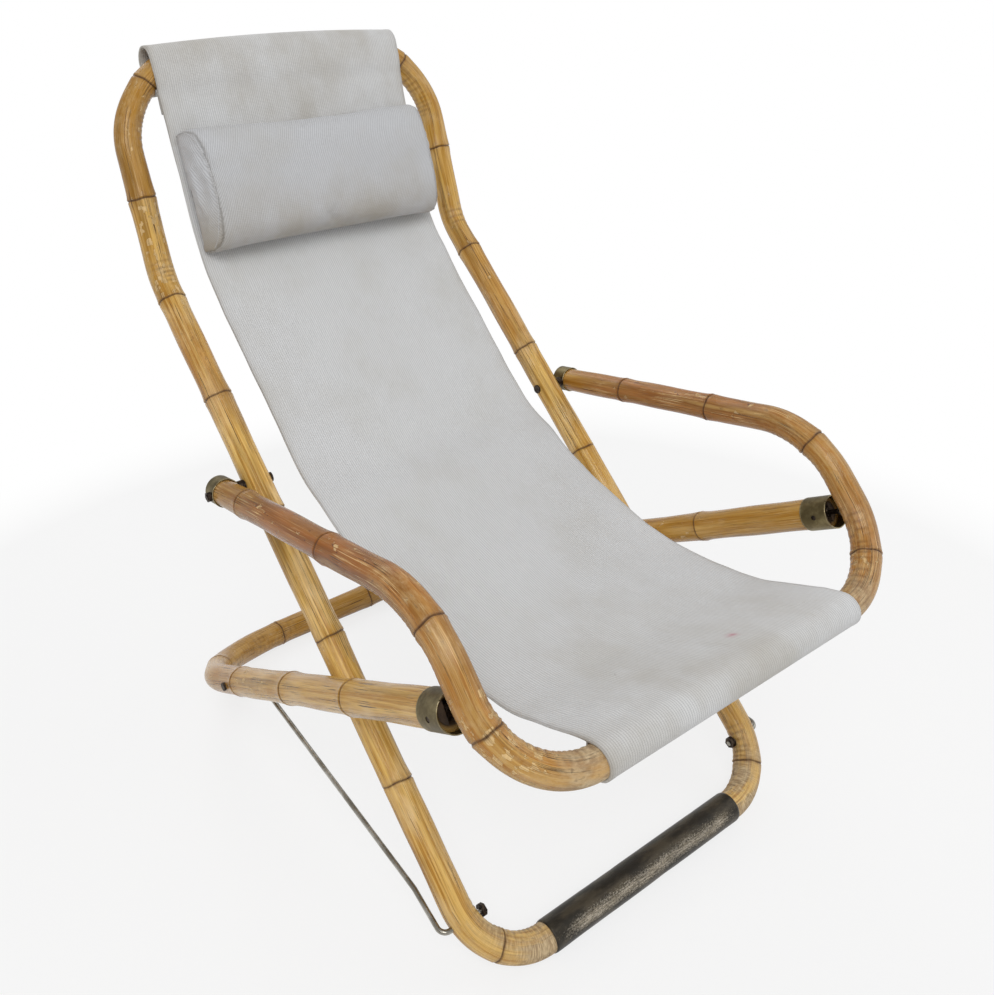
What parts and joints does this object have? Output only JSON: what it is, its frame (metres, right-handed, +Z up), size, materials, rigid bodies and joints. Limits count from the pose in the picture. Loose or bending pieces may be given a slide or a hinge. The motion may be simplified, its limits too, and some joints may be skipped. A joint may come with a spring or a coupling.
{
  "type": "folding recliner chair",
  "caption": "Folding recliner with bent bamboo poles, a canvas sling seat and back, a stuffed head pillow, brass-capped ends and steel tie rods.",
  "frame": {"origin": "on the floor, in the middle of the chair's outline", "axes": "+Z up, -Y to the front of the chair, +X and -X to its two sides"},
  "size_m": [0.5972, 0.8615, 0.9051],
  "materials": {
    "bamboo": "varnished",
    "dowel_wood": "bare",
    "canvas": "ribbed cotton canvas",
    "pillow_cloth": "cotton canvas with piped seams",
    "aged_brass": "aged, worn at the rims",
    "dark_sleeve": "dark enamel, worn along the floor side",
    "rod_steel": "bright drawn steel",
    "fastener_steel": "darkened steel"
  },
  "bodies": {
    "back": {"back_frame_left": "bamboo", "back_frame_right": "bamboo", "floor_bar_dowel": "dowel_wood", "top_bar_dowel": "dowel_wood", "floor_sleeve": "dark_sleeve", "sling_back": "canvas", "head_pillow": "pillow_cloth", "arm_pivot_bolts": "fastener_steel", "arm_pivot_nuts": "fastener_steel", "arm_spacers": "fastener_steel"},
    "arms": {"arm_frame": "bamboo", "arm_cap_left": "aged_brass", "arm_cap_right": "aged_brass", "eye_bolts": "fastener_steel", "sling_seat": "canvas"},
    "base": {"base_frame": "bamboo", "ferrule_left": "aged_brass", "ferrule_right": "aged_brass", "hinge_plugs": "dowel_wood", "hinge_pins": "fastener_steel", "tie_rod_bolts": "fastener_steel"},
    "rod_left": {"tie_rod_left": "rod_steel", "tie_rod_washer_left": "fastener_steel", "tie_rod_nut_left": "fastener_steel"},
    "rod_right": {"tie_rod_right": "rod_steel", "tie_rod_washer_right": "fastener_steel", "tie_rod_nut_right": "fastener_steel"}
  },
  "joints": [
    {"name": "arm_fold", "type": "hinge", "parent": "back", "child": "arms", "pos_m": [0, 0.11167, 0.42879], "axis": [-1, 0, 0], "range_deg": [0, 115]},
    {"name": "base_fold", "type": "hinge", "parent": "arms", "child": "base", "pos_m": [0, -0.31766, 0.39149], "axis": [1, 0, 0], "range_deg": [0, 28.8]},
    {"name": "rod_swing_left", "type": "hinge", "parent": "back", "child": "rod_left", "pos_m": [-0.23, -0.2785, 0.05983], "axis": [1, 0, 0], "range_deg": [0, 33.6]},
    {"name": "rod_swing_right", "type": "hinge", "parent": "back", "child": "rod_right", "pos_m": [0.23, -0.2785, 0.05983], "axis": [1, 0, 0], "range_deg": [0, 33.6]}
  ],
  "couplings": [
    {"joint": "base_fold", "follows": "arm_fold", "ratio": 0.25},
    {"joint": "rod_swing_left", "follows": "arm_fold", "ratio": 0.2916},
    {"joint": "rod_swing_right", "follows": "arm_fold", "ratio": 0.2916}
  ]
}
